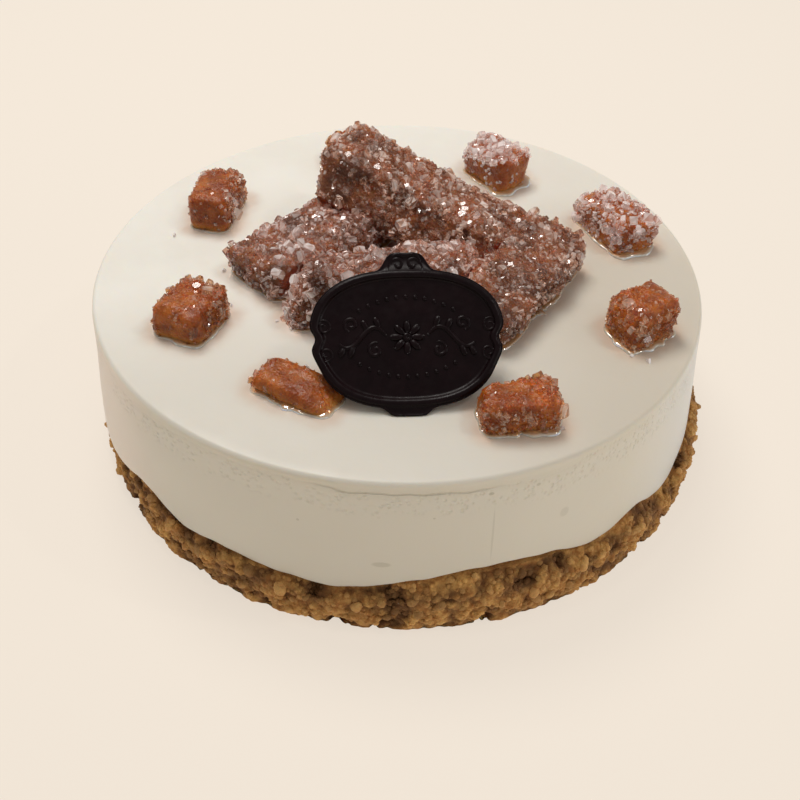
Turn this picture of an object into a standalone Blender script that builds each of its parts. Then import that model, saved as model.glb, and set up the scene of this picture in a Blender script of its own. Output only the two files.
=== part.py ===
# Round set cheesecake: pressed crumb base, white cream layer, sugared fruit jellies on top
# and a small dark chocolate plaque. Metres, +Z up.
# The origin is the middle of the crumb base's underside. The front, with the plaque, faces -Y.

import math

import bpy
import bmesh
from mathutils import Euler, Matrix, Vector

MM = 0.001
GAP = 0.3 * MM

# Cream layer: a ring-set disc that widens a little towards its foot
SEGMENTS = 96
CREAM_TOP = 44.1 * MM
CREAM_RADIUS = 79.9 * MM
CREAM_CENTRE = (-0.6 * MM, 0.0)
WALL_FLARE = 0.073
RIM_ROUND = 1.1 * MM
RIM_ROUND_STEPS = 3
TOP_SHARES = (0.5, 0.86)
WALL_SHARES = (0.5, 1.0)
THREE_LOBE = 0.5 * MM
THREE_LOBE_TURN = math.radians(140)
FOOT_ROUND = 0.5 * MM

# Height of the cream's lower edge round the cake: degrees from +X, and millimetres
LOWER_EDGE = [
    (-172, 12.4), (-155, 9.8), (-140, 16.2), (-128, 11.2), (-121, 13.8), (-103, 11.1),
    (-90, 13.7), (-79, 16.7), (-67, 16.9), (-55, 11.2), (-43, 14.5), (-35, 8.7),
    (-27, 12.2), (-8, 13.8), (14, 11.3), (36, 13.9), (55, 11.6), (78, 14.3),
    (101, 11.5), (124, 13.6), (146, 11.0), (167, 13.9),
]
JOINT_LEVEL = 12.5 * MM
JOINT_FLAT_TO = 0.55
JOINT_SHARES = (0.5, 0.8, 0.93, 1.0)

# Crumb base: pressed crumbs, standing a little proud of the cream
CRUMB_RADIUS = 84.0 * MM
CRUMB_LEDGE = 0.3 * MM
CRUMB_SHOULDER_DROP = 1.6 * MM
CRUMB_BELLY_AT = 0.55
CRUMB_SKIRT_AT = 0.16
CRUMB_SKIRT_IN = 0.2 * MM
CRUMB_FOOT_IN = 0.9 * MM
CRUMB_LUMPS = [(5, 0.16 * MM, 0.4), (11, 0.2 * MM, 1.9), (17, 0.16 * MM, 4.1), (29, 0.1 * MM, 2.6)]
CRUMB_LUMP_SLANT = 90.0
CRUMB_SAG = 2.2 * MM
CRUMB_SAG_AT = math.radians(-75)
CRUMB_SAG_HALF = math.radians(17)

# Large jelly bars of the heap: middle, size, turn about Z, Y and X in degrees, how far the
# left end's upper side leans in, and how far the right end's front side is cut back
BARS = {
    "jelly_bar_top": ((4.4, 16.6, 58.7), (57.0, 18.6, 10.8), (-29, 14.5, 0), 1.5, 0.0),
    "jelly_bar_left": ((-23.6, 5.9, 49.5), (45.6, 21.6, 10.0), (44, 0, 0), 0.5, 0.0),
    "jelly_bar_front": ((-5.0, -18.8, 53.5), (47.0, 11.6, 17.6), (9, -1, 0), 7.0, 6.4),
    "jelly_bar_right": ((30.6, -12.4, 51.9), (45.6, 18.8, 9.6), (55, 0, 12), 0.5, 0.0),
}
BAR_ROUND = 3.0 * MM
BAR_STEPS = (7, 3, 2)
BAR_WOBBLE = 0.45 * MM

# Small jelly pieces in a ring: place in the cake's plane, size, turn about Z in degrees,
# and how far one end's upper side leans in
CUBES = [
    ((-52.6, 26.3), (19.6, 11.2, 10.6), 80, 1.0),
    ((-52.2, -24.8), (16.0, 13.6, 9.0), 66, 0.5),
    ((-24.2, -50.6), (22.6, 10.4, 5.2), 150, 8.0),
    ((27.0, -58.2), (18.0, 10.4, 9.0), 7, 0.5),
    ((59.7, -25.6), (14.8, 12.0, 11.4), 33, 1.5),
    ((59.2, 19.0), (22.4, 13.0, 10.0), -66, 2.0),
    ((27.9, 48.8), (18.2, 12.2, 10.8), -54, 1.0),
    ((-14.5, 55.5), (15.2, 11.6, 9.0), 18, 0.5),
]
CUBE_ROUND = 2.4 * MM
CUBE_STEPS = (3, 3, 2)
CUBE_WOBBLE = 0.4 * MM

# Waves that make the jelly sides uneven, in radians a metre along the block's own axes
WAVE_ALONG = 306.0
WAVE_ACROSS = 342.0
WAVE_UP = 414.0
WAVE_UP_ALONG = 252.0
WAVE_UP_SHARE = 0.6

# Chocolate plaque: an oval with a tab above and below and a nick in each side
PLAQUE_FOOT = (2.4 * MM, -58.3 * MM, 44.8 * MM)
PLAQUE_TILT = math.radians(38)
PLAQUE_TURN = math.radians(3)
PLAQUE_HALF_WIDTH = 22.8 * MM
PLAQUE_HALF_HEIGHT = 16.5 * MM
PLAQUE_MIDDLE = 18.2 * MM
PLAQUE_FULLNESS = 2.5
PLAQUE_THICK = 2.5 * MM
PLAQUE_RIM_WIDTH = 1.5 * MM
PLAQUE_RECESS = 0.7 * MM
PLAQUE_POINTS = 96
PLAQUE_CROWDING = (0.18, 0.06)
RIM_FALL_IN = 1.5
RIM_FLAT_FROM = 0.85
RIM_FLAT_TO = 0.3
RIM_BEVEL_DROP = 0.3
TAB_HALF_WIDTH = 5.0 * MM
TAB_SHOULDER = 2.0 * MM
TOP_TAB = 4.0 * MM
FOOT_TAB = 1.9 * MM
NICK_DEPTH = 1.5 * MM
NICK_HALF = 1.9 * MM
LOWER_NARROWING = 1.5 * MM
LOWER_SPAN = 8.0 * MM

COLOURS = {
    "crumb": ((0.30, 0.17, 0.08, 1.0), 0.9),
    "cream": ((0.78, 0.74, 0.66, 1.0), 0.35),
    "jelly": ((0.38, 0.11, 0.03, 1.0), 0.3),
    "chocolate": ((0.012, 0.006, 0.005, 1.0), 0.35),
}


def clear_scene():
    for thing in list(bpy.data.objects):
        bpy.data.objects.remove(thing, do_unlink=True)


def make_material(name, kind):
    colour, roughness = COLOURS[kind]
    material = bpy.data.materials.new(name)
    material.use_nodes = True
    shader = material.node_tree.nodes["Principled BSDF"]
    shader.inputs["Base Color"].default_value = colour
    shader.inputs["Roughness"].default_value = roughness
    shader.inputs["Metallic"].default_value = 0.0
    return material


def add_object(name, mesh_builder, kind):
    mesh = bpy.data.meshes.new(name)
    mesh_builder.to_mesh(mesh)
    mesh_builder.free()
    mesh.shade_smooth()
    mesh.set_sharp_from_angle(angle=math.radians(40))
    thing = bpy.data.objects.new(name, mesh)
    thing.data.materials.append(make_material(name + "_finish", kind))
    bpy.context.scene.collection.objects.link(thing)
    return thing


def ease(t):
    t = min(max(t, 0.0), 1.0)
    return t * t * (3.0 - 2.0 * t)


# Height of the cream's lower edge at an angle, eased between the stops of LOWER_EDGE
def lower_edge(angle):
    degrees = (math.degrees(angle) + 180.0) % 360.0 - 180.0
    stops = LOWER_EDGE
    for index, (start, height) in enumerate(stops):
        after, next_height = stops[(index + 1) % len(stops)]
        span = (after - start) % 360
        along = (degrees - start) % 360
        if along <= span:
            return (height + (next_height - height) * ease(along / span)) * MM
    return JOINT_LEVEL


def wall_radius(angle, height):
    lobes = THREE_LOBE * math.cos(3.0 * angle + THREE_LOBE_TURN)
    return CREAM_RADIUS + lobes + WALL_FLARE * (CREAM_TOP - height)


# Point where cream and crumbs meet, at a share of the way out: flat inside, wavy at the edge
def joint_point(angle, reach, lift):
    share = ease((reach - JOINT_FLAT_TO) / (1.0 - JOINT_FLAT_TO))
    height = JOINT_LEVEL + (lower_edge(angle) - JOINT_LEVEL) * share
    radius = wall_radius(angle, lower_edge(angle)) - FOOT_ROUND
    return cream_point(angle, reach * radius, height + lift)


# Fills a four-sided gap with two triangles along its shorter diagonal
def fill_four(shape, a, b, c, d):
    if (a.co - c.co).length <= (b.co - d.co).length:
        shape.faces.new((a, b, c))
        shape.faces.new((a, c, d))
    else:
        shape.faces.new((a, b, d))
        shape.faces.new((b, c, d))


# Closes a stack of rings, each a list of points, between a first and a last middle point.
# The rings run from the top middle outwards, down the side and back to the bottom middle.
def close_turned(rings, top_middle, bottom_middle):
    shape = bmesh.new()
    top = shape.verts.new(top_middle)
    loops = [[shape.verts.new(point) for point in ring] for ring in rings]
    bottom = shape.verts.new(bottom_middle)
    count = len(rings[0])
    for index in range(count):
        after = (index + 1) % count
        shape.faces.new((top, loops[0][index], loops[0][after]))
        for upper, lower in zip(loops, loops[1:]):
            fill_four(shape, upper[index], lower[index], lower[after], upper[after])
        shape.faces.new((loops[-1][index], bottom, loops[-1][after]))
    bmesh.ops.recalc_face_normals(shape, faces=shape.faces)
    return shape


def ring_angles():
    return [2.0 * math.pi * index / SEGMENTS for index in range(SEGMENTS)]


def cream_point(angle, radius, height):
    x, y = CREAM_CENTRE
    return Vector((x + radius * math.cos(angle), y + radius * math.sin(angle), height))


def make_cream_layer():
    rings = []
    for share in TOP_SHARES:
        rings.append([cream_point(a, share * CREAM_RADIUS, CREAM_TOP) for a in ring_angles()])
    for step in range(RIM_ROUND_STEPS + 1):
        turn = 0.5 * math.pi * step / RIM_ROUND_STEPS
        height = CREAM_TOP - RIM_ROUND * (1.0 - math.cos(turn))
        inset = RIM_ROUND * (1.0 - math.sin(turn))
        rings.append([cream_point(a, wall_radius(a, height) - inset, height) for a in ring_angles()])
    for share in WALL_SHARES:
        ring = []
        for angle in ring_angles():
            foot = lower_edge(angle) + GAP + FOOT_ROUND
            height = CREAM_TOP - RIM_ROUND + share * (foot - CREAM_TOP + RIM_ROUND)
            ring.append(cream_point(angle, wall_radius(angle, height), height))
        rings.append(ring)
    for share in reversed(JOINT_SHARES):
        rings.append([joint_point(a, share, GAP) for a in ring_angles()])
    top_middle = cream_point(0.0, 0.0, CREAM_TOP)
    bottom_middle = cream_point(0.0, 0.0, JOINT_LEVEL + GAP)
    add_object("cream_layer", close_turned(rings, top_middle, bottom_middle), "cream")


# The crumbs sink away under the cream on one stretch of the front
def crumb_sag(angle):
    away = (angle - CRUMB_SAG_AT + math.pi) % (2.0 * math.pi) - math.pi
    return CRUMB_SAG * (1.0 - ease(abs(away) / CRUMB_SAG_HALF))


def crumb_lumps(angle, height):
    slant = CRUMB_LUMP_SLANT * height
    return sum(size * math.sin(waves * angle + turn + slant) for waves, size, turn in CRUMB_LUMPS)


def make_crumb_base():
    rings = [[joint_point(a, share, 0.0) for a in ring_angles()] for share in JOINT_SHARES[:-1]]
    ledge = []
    shoulder = []
    belly = []
    skirt = []
    foot = []
    for angle in ring_angles():
        edge = lower_edge(angle) - crumb_sag(angle)
        ledge.append(joint_point(angle, 1.0, -crumb_sag(angle)))
        for ring, radius, height in (
            (shoulder, wall_radius(angle, edge) + CRUMB_LEDGE, edge - CRUMB_SHOULDER_DROP),
            (belly, CRUMB_RADIUS, CRUMB_BELLY_AT * edge),
            (skirt, CRUMB_RADIUS - CRUMB_SKIRT_IN, CRUMB_SKIRT_AT * edge),
            (foot, CRUMB_RADIUS - CRUMB_FOOT_IN, 0.0),
        ):
            wide = radius + crumb_lumps(angle, height)
            ring.append(Vector((wide * math.cos(angle), wide * math.sin(angle), height)))
    rings += [ledge, shoulder, belly, skirt, foot]
    xs = [point.x for point in belly + skirt + shoulder]
    ys = [point.y for point in belly + skirt + shoulder]
    middle = Vector((0.5 * (min(xs) + max(xs)), 0.5 * (min(ys) + max(ys)), 0.0))
    for ring in (shoulder, belly, skirt, foot):
        for point in ring:
            point -= middle
    top_middle = cream_point(0.0, 0.0, JOINT_LEVEL)
    add_object("crumb_base", close_turned(rings, top_middle, Vector((0.0, 0.0, 0.0))), "crumb")


# Stops along one edge of a block: both ends, both starts of the rounding, and even steps between
def block_stops(half, rounding, steps):
    inner = half - rounding
    return [-half] + [-inner + 2.0 * inner * step / steps for step in range(steps + 1)] + [half]


def wobble(point, size, seed):
    level = math.sin(WAVE_ALONG * point.x + 2.1 * seed) * math.cos(WAVE_ACROSS * point.y - 1.3 * seed)
    upright = math.sin(WAVE_UP * point.z + WAVE_UP_ALONG * point.x - 0.7 * seed)
    return size * (level + WAVE_UP_SHARE * upright) / (1.0 + WAVE_UP_SHARE)


# A block of jelly with soft corners and slightly uneven sides; its underside stays flat
def jelly_block(size, rounding, steps, uneven, lean, cut_back, seed):
    halves = [0.5 * value * MM for value in size]
    stops = [block_stops(half, rounding, count) for half, count in zip(halves, steps)]
    shape = bmesh.new()
    corners = {}

    def corner(i, j, k):
        if (i, j, k) in corners:
            return corners[(i, j, k)]
        point = Vector((stops[0][i], stops[1][j], stops[2][k]))
        core = Vector([min(max(v, rounding - h), h - rounding) for v, h in zip(point, halves)])
        outward = (point - core).normalized()
        soft = core + outward * rounding
        soft += outward * wobble(soft, uneven, seed)
        for axis in range(3):
            soft[axis] = min(max(soft[axis], -halves[axis]), halves[axis])
        rise = 0.5 + 0.5 * soft.z / halves[2]
        near_left = ease(0.5 - soft.x / (2.0 * halves[0]))
        soft.x += lean * MM * rise * near_left
        to_front = 0.5 - 0.5 * soft.y / halves[1]
        soft.x -= cut_back * MM * to_front * (1.0 - near_left)
        corners[(i, j, k)] = shape.verts.new(soft)
        return corners[(i, j, k)]

    last = [len(line) - 1 for line in stops]
    for axis in range(3):
        first, second = [other for other in range(3) if other != axis]
        for side in (0, last[axis]):
            for a in range(last[first]):
                for b in range(last[second]):
                    face = []
                    for da, db in ((0, 0), (1, 0), (1, 1), (0, 1)):
                        spot = [0, 0, 0]
                        spot[axis] = side
                        spot[first] = a + da
                        spot[second] = b + db
                        face.append(corner(*spot))
                    shape.faces.new(face)
    bmesh.ops.recalc_face_normals(shape, faces=shape.faces)
    return shape


def make_bars():
    for seed, (name, (middle, size, turn, lean, cut_back)) in enumerate(BARS.items()):
        shape = jelly_block(size, BAR_ROUND, BAR_STEPS, BAR_WOBBLE, lean, cut_back, seed + 1)
        bar = add_object(name, shape, "jelly")
        about_z, about_y, about_x = (math.radians(value) for value in turn)
        bar.location = Vector(middle) * MM
        bar.rotation_euler = Euler((about_x, about_y, about_z), "XYZ")


def make_cubes():
    for number, ((x, y), size, turn, lean) in enumerate(CUBES, start=1):
        shape = jelly_block(size, CUBE_ROUND, CUBE_STEPS, CUBE_WOBBLE, lean, 0.0, number + 7)
        cube = add_object("jelly_piece_%d" % number, shape, "jelly")
        cube.location = (x * MM, y * MM, CREAM_TOP + GAP + 0.5 * size[2] * MM)
        cube.rotation_euler = (0.0, 0.0, math.radians(turn))


# Half width and height of the plaque's edge at an angle, drawn in by some inset; the tabs stand
# outside the raised rim, and the lower half is a little narrower
def plaque_edge(angle, inset):
    wide = PLAQUE_HALF_WIDTH - inset
    tall = PLAQUE_HALF_HEIGHT - inset
    power = 2.0 / PLAQUE_FULLNESS
    cos = math.cos(angle)
    sin = math.sin(angle)
    x = wide * math.copysign(abs(cos) ** power, cos)
    y = tall * math.copysign(abs(sin) ** power, sin)
    nick = NICK_DEPTH * math.exp(-((y / NICK_HALF) ** 2))
    x -= math.copysign(nick, x)
    x *= 1.0 - LOWER_NARROWING / PLAQUE_HALF_WIDTH * ease(-y / LOWER_SPAN)
    tab = TOP_TAB if y > 0.0 else FOOT_TAB
    if inset > RIM_FLAT_TO * PLAQUE_RIM_WIDTH:
        tab = 0.0
    shoulder = (TAB_HALF_WIDTH - inset - abs(x)) / TAB_SHOULDER
    y += math.copysign(tab * ease(shoulder + 0.5), y)
    return x, y + PLAQUE_MIDDLE


# Angles round the plaque, closer together where the tabs and the nicks need them
def plaque_angles():
    angles = []
    for index in range(PLAQUE_POINTS):
        turn = 2.0 * math.pi * index / PLAQUE_POINTS
        crowding = PLAQUE_CROWDING[0] * math.sin(2.0 * turn) + PLAQUE_CROWDING[1] * math.sin(4.0 * turn)
        angles.append(turn - crowding)
    return angles


# The plaque leans back; its foot is levelled where it meets the cream
def stand_plaque(x, y, z):
    stand = Matrix.Rotation(PLAQUE_TURN, 4, "Z") @ Matrix.Rotation(PLAQUE_TILT, 4, "X")
    point = Matrix.Translation(PLAQUE_FOOT) @ stand @ Vector((x, y, z))
    point.z = max(point.z, CREAM_TOP + GAP)
    return point


def make_plaque():
    levels = (
        (RIM_FALL_IN * PLAQUE_RIM_WIDTH, -PLAQUE_RECESS),
        (RIM_FLAT_FROM * PLAQUE_RIM_WIDTH, 0.0),
        (RIM_FLAT_TO * PLAQUE_RIM_WIDTH, 0.0),
        (0.0, -RIM_BEVEL_DROP * PLAQUE_THICK),
        (0.0, -PLAQUE_THICK),
    )
    rings = []
    for inset, height in levels:
        rings.append([stand_plaque(*plaque_edge(a, inset), height) for a in plaque_angles()])
    face_middle = stand_plaque(0.0, PLAQUE_MIDDLE, -PLAQUE_RECESS)
    back_middle = stand_plaque(0.0, PLAQUE_MIDDLE, -PLAQUE_THICK)
    add_object("chocolate_plaque", close_turned(rings, face_middle, back_middle), "chocolate")


clear_scene()
make_crumb_base()
make_cream_layer()
make_bars()
make_cubes()
make_plaque()
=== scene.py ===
import math

import bmesh
import bpy
import numpy as np
from mathutils import Matrix, Vector
from mathutils.bvhtree import BVHTree


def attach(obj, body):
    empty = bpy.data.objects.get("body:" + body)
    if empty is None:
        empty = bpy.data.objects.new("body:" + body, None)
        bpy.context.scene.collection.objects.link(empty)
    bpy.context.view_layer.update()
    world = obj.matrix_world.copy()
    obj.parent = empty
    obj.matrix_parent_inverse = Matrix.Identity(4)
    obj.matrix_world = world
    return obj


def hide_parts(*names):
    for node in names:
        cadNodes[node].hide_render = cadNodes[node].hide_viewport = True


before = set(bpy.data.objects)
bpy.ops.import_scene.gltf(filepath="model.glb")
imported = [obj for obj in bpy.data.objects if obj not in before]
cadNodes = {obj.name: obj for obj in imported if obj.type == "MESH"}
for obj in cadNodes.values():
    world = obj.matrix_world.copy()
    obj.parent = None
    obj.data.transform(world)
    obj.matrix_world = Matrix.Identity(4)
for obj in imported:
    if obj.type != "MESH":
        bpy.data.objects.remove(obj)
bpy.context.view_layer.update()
mm = 0.001
creamTop = 44.1 * mm
print("frame loaded:", len(cadNodes), "nodes")


# Small helpers
def addObject(name, data, material=None):
    thing = bpy.data.objects.new(name, data)
    if material:
        data.materials.clear()
        data.materials.append(material)
    bpy.context.scene.collection.objects.link(thing)
    return thing


# Mesh of a bmesh, which goes
def meshOf(name, shape):
    mesh = bpy.data.meshes.new(name)
    shape.to_mesh(mesh)
    shape.free()
    return mesh


def joinedMesh(name, meshes):
    shape = bmesh.new()
    for mesh in meshes:
        shape.from_mesh(mesh)
    return meshOf(name, shape)


def meshFrom(name, points, faces):
    mesh = bpy.data.meshes.new(name)
    mesh.from_pydata([tuple(point) for point in points], [], faces)
    mesh.update()
    shape = bmesh.new()
    shape.from_mesh(mesh)
    bmesh.ops.recalc_face_normals(shape, faces=shape.faces)
    shape.to_mesh(mesh)
    shape.free()
    mesh.shade_smooth()
    return mesh


def setFloats(mesh, name, values):
    layer = mesh.attributes.new(name, "FLOAT", "POINT")
    layer.data.foreach_set("value", np.asarray(values, dtype=np.float32))


def pointsOf(mesh):
    flat = np.empty(3 * len(mesh.vertices))
    mesh.vertices.foreach_get("co", flat)
    return flat.reshape(-1, 3)


# Sets a mesh's points, none of them under a floor
def setPoints(mesh, points, floor=0.0):
    points[:, 2] = np.maximum(points[:, 2], floor)
    mesh.vertices.foreach_set("co", points.ravel())
    mesh.update()


def ease(t):
    t = np.clip(t, 0.0, 1.0)
    return t * t * (3.0 - 2.0 * t)


def evenAngles(count):
    return np.linspace(0.0, 2 * math.pi, count, endpoint=False)


# Mesh of an object as its modifiers leave it; the object goes
def settled(thing, name):
    bpy.context.view_layer.update()
    graph = bpy.context.evaluated_depsgraph_get()
    mesh = bpy.data.meshes.new_from_object(thing.evaluated_get(graph))
    mesh.name = name
    bpy.data.objects.remove(thing, do_unlink=True)
    return mesh


def ride(piece, slotName, *nodes):
    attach(piece, "root")
    if nodes:
        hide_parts(*nodes)


# What node trees and materials have in common
class Graph:
    def put(self, value, socket):
        if isinstance(value, bpy.types.NodeSocket):
            self.links.new(value, socket)
        else:
            socket.default_value = value

    # A node with its settings, and its inputs by name or by number, such as _0
    def add(self, kind, settings=None, **inputs):
        node = self.nodes.new(kind)
        for key, value in (settings or {}).items():
            setattr(node, key, value)
        for key, value in inputs.items():
            self.put(value, node.inputs[int(key[1:]) if key[0] == "_" else key.replace("_", " ")])
        return node

    def sum(self, kind, first, second=0.0):
        return self.add("ShaderNodeMath", {"operation": kind}, _0=first, _1=second).outputs[0]

    def noiseAt(self, place, often, detail, rough=0.5):
        node = self.add("ShaderNodeTexNoise", Vector=place, Scale=often, Detail=detail, Roughness=rough)
        return node.outputs["Fac"]

    def cellsAt(self, place, often):
        return self.add("ShaderNodeTexVoronoi", Vector=place, Scale=often).outputs["Distance"]

    def times(self, value, *others):
        for other in others:
            value = self.sum("MULTIPLY", value, other)
        return value


# A node tree for a modifier, with a geometry in and out and the named inputs given
class Tree(Graph):
    def __init__(self, name, inputs):
        self.tree = bpy.data.node_groups.new(name, "GeometryNodeTree")
        self.nodes = self.tree.nodes
        self.links = self.tree.links
        face = self.tree.interface
        face.new_socket("Geometry", in_out="INPUT", socket_type="NodeSocketGeometry")
        self.keys = {}
        for label, kind in inputs.items():
            socket = face.new_socket(label, in_out="INPUT", socket_type="NodeSocket" + kind)
            self.keys[label] = socket.identifier
        face.new_socket("Geometry", in_out="OUTPUT", socket_type="NodeSocketGeometry")
        self.start = self.nodes.new("NodeGroupInput")
        self.end = self.nodes.new("NodeGroupOutput")

    def given(self, label):
        return self.start.outputs[label]

    def vector(self, kind, first, **others):
        return self.add("ShaderNodeVectorMath", {"operation": kind}, _0=first, **others).outputs[0]

    def named(self, name):
        return self.add("GeometryNodeInputNamedAttribute", {"data_type": "FLOAT"}, Name=name).outputs[0]

    def random(self, kind, **inputs):
        node = self.add("FunctionNodeRandomValue", {"data_type": kind}, Seed=self.given("Seed"), **inputs)
        return node.outputs[0 if kind == "FLOAT_VECTOR" else 1]

    def moved(self, geometry, offset):
        return self.add("GeometryNodeSetPosition", Geometry=geometry, Offset=offset).outputs[0]

    # Sets a surface out along its normals
    def pushed(self, geometry, distance):
        normal = self.add("GeometryNodeInputNormal").outputs[0]
        return self.moved(geometry, self.vector("SCALE", normal, Scale=distance))

    # Paints the geometry and hands it out
    def finish(self, geometry):
        painted = self.add("GeometryNodeSetMaterial", Geometry=geometry, Material=self.given("Material"))
        self.links.new(painted.outputs[0], self.end.inputs[0])

    def fit(self, thing, values):
        modifier = thing.modifiers.new(self.tree.name, "NODES")
        modifier.node_group = self.tree
        for label, value in values.items():
            modifier[self.keys[label]] = value


# A material and short calls for the nodes used again and again
class Finish(Graph):
    def __init__(self, name, **constants):
        self.material = bpy.data.materials.new(name)
        self.material.use_nodes = True
        self.nodes = self.material.node_tree.nodes
        self.links = self.material.node_tree.links
        self.shader = self.nodes["Principled BSDF"]
        self.place = self.add("ShaderNodeTexCoord").outputs["Object"]
        self.use(**constants)

    def noise(self, perMetre, detail=3.0, rough=0.55):
        return self.noiseAt(self.place, perMetre, detail, rough)

    def cells(self, perMetre):
        return self.cellsAt(self.place, perMetre)

    def attribute(self, name):
        return self.add("ShaderNodeAttribute", {"attribute_name": name}).outputs["Fac"]

    def spread(self, value, low, high, toLow=0.0, toHigh=1.0, kind="SMOOTHSTEP"):
        return self.add(
            "ShaderNodeMapRange", {"interpolation_type": kind},
            Value=value, From_Min=low, From_Max=high, To_Min=toLow, To_Max=toHigh,
        ).outputs["Result"]

    def mix(self, share, *colours):
        first, second = [
            colour if isinstance(colour, bpy.types.NodeSocket) else (*colour, 1.0) for colour in colours
        ]
        return self.add("ShaderNodeMix", {"data_type": "RGBA"}, _0=share, _6=first, _7=second).outputs[2]

    # How far a value is from a middle
    def apart(self, value, middle):
        return self.sum("ABSOLUTE", self.sum("SUBTRACT", value, middle))

    # Square of that distance, in halves
    def away(self, value, middle, half):
        share = self.sum("DIVIDE", self.sum("SUBTRACT", value, middle), half)
        return self.times(share, share)

    def heights(self):
        return self.add("ShaderNodeSeparateXYZ", _0=self.place).outputs

    def bump(self, height, depth, after=None):
        node = self.add("ShaderNodeBump", Height=height, Strength=1.0, Distance=depth)
        if after:
            self.put(after, node.inputs["Normal"])
        return node.outputs["Normal"]

    def use(self, **sockets):
        for key, value in sockets.items():
            self.put(value, self.shader.inputs[key.replace("_", " ")])
        return self.material


# Camera, floor and light
cameraView = {
    "distance": 309.9 * mm,
    "raised": math.radians(38.51),
    "aimHeight": 22.22 * mm,
    "tilted": math.radians(-3.485),
    "panned": math.radians(-0.028),
    "rolled": math.radians(-0.716),
    "lens": 49.52,
    "sensor": 36.0,
    "nearest": 10 * mm,
}


def turned(vector, axis, angle):
    return Matrix.Rotation(angle, 3, axis) @ vector


def makeCamera(view):
    back = Vector((0.0, -math.cos(view["raised"]), math.sin(view["raised"])))
    look = -back
    right = Vector((1.0, 0.0, 0.0))
    up = right.cross(look)
    look, up = turned(look, right, view["tilted"]), turned(up, right, view["tilted"])
    look, right = turned(look, up, view["panned"]), turned(right, up, view["panned"])
    right, up = turned(right, look, view["rolled"]), turned(up, look, view["rolled"])
    camera = addObject("camera", bpy.data.cameras.new("camera"))
    camera.data.sensor_width = view["sensor"]
    camera.data.lens = view["lens"]
    camera.data.clip_start = view["nearest"]
    place = back * view["distance"] + Vector((0.0, 0.0, view["aimHeight"]))
    camera.matrix_world = Matrix.Translation(place) @ Matrix((right, up, -look)).transposed().to_4x4()
    bpy.context.scene.camera = camera


lightPlan = {
    "sky": (1.0, 0.975, 0.94, 1.0),
    "skyStrength": 0.35,
    "aim": (0.0, 0.0, 0.04),
    # name: place, size, watts, colour
    "lamps": {
        "backWindow": ((-0.14, 0.30, 0.72), 0.34, 3.2, (1.0, 0.965, 0.92)),
        "sideWindow": ((0.95, -0.20, 0.28), 0.45, 1.2, (1.0, 0.98, 0.96)),
        "glint": ((0.52, -0.02, 0.72), 0.06, 0.55, (1.0, 0.985, 0.97)),
        "overhead": ((-0.06, 0.05, 0.80), 0.04, 0.35, (1.0, 0.985, 0.96)),
    },
    "floorHalf": 2.5,
    "floorColour": (0.20, 0.18, 0.155, 1.0),
    "floorGlow": (0.93, 0.835, 0.725, 1.0),
    "floorGlowStrength": 0.76,
}


def makeStudio(plan):
    world = bpy.data.worlds.new("studio")
    bpy.context.scene.world = world
    world.use_nodes = True
    sky = world.node_tree.nodes["Background"]
    sky.inputs["Color"].default_value = plan["sky"]
    sky.inputs["Strength"].default_value = plan["skyStrength"]
    for name, (place, size, watts, colour) in plan["lamps"].items():
        lamp = bpy.data.lights.new(name, "AREA")
        lamp.shape = "DISK"
        lamp.size = size
        lamp.energy = watts
        lamp.color = colour
        holder = addObject(name, lamp)
        holder.location = place
        aim = Vector(plan["aim"]) - Vector(place)
        holder.rotation_euler = aim.to_track_quat("-Z", "Y").to_euler()
    mesh = bpy.data.meshes.new("floor")
    half = plan["floorHalf"]
    corners = [(-half, -half, 0), (half, -half, 0), (half, half, 0), (-half, half, 0)]
    mesh.from_pydata(corners, [], [(0, 1, 2, 3)])
    paint = Finish(
        "floorPaint", Base_Color=plan["floorColour"], Roughness=0.9, Specular_IOR_Level=0.1,
        Emission_Color=plan["floorGlow"], Emission_Strength=plan["floorGlowStrength"],
    )
    addObject("floor", mesh, paint.material)
    bpy.context.scene.view_settings.view_transform = "Standard"


makeCamera(cameraView)
makeStudio(lightPlan)
print("camera, floor and light ready")


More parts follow.
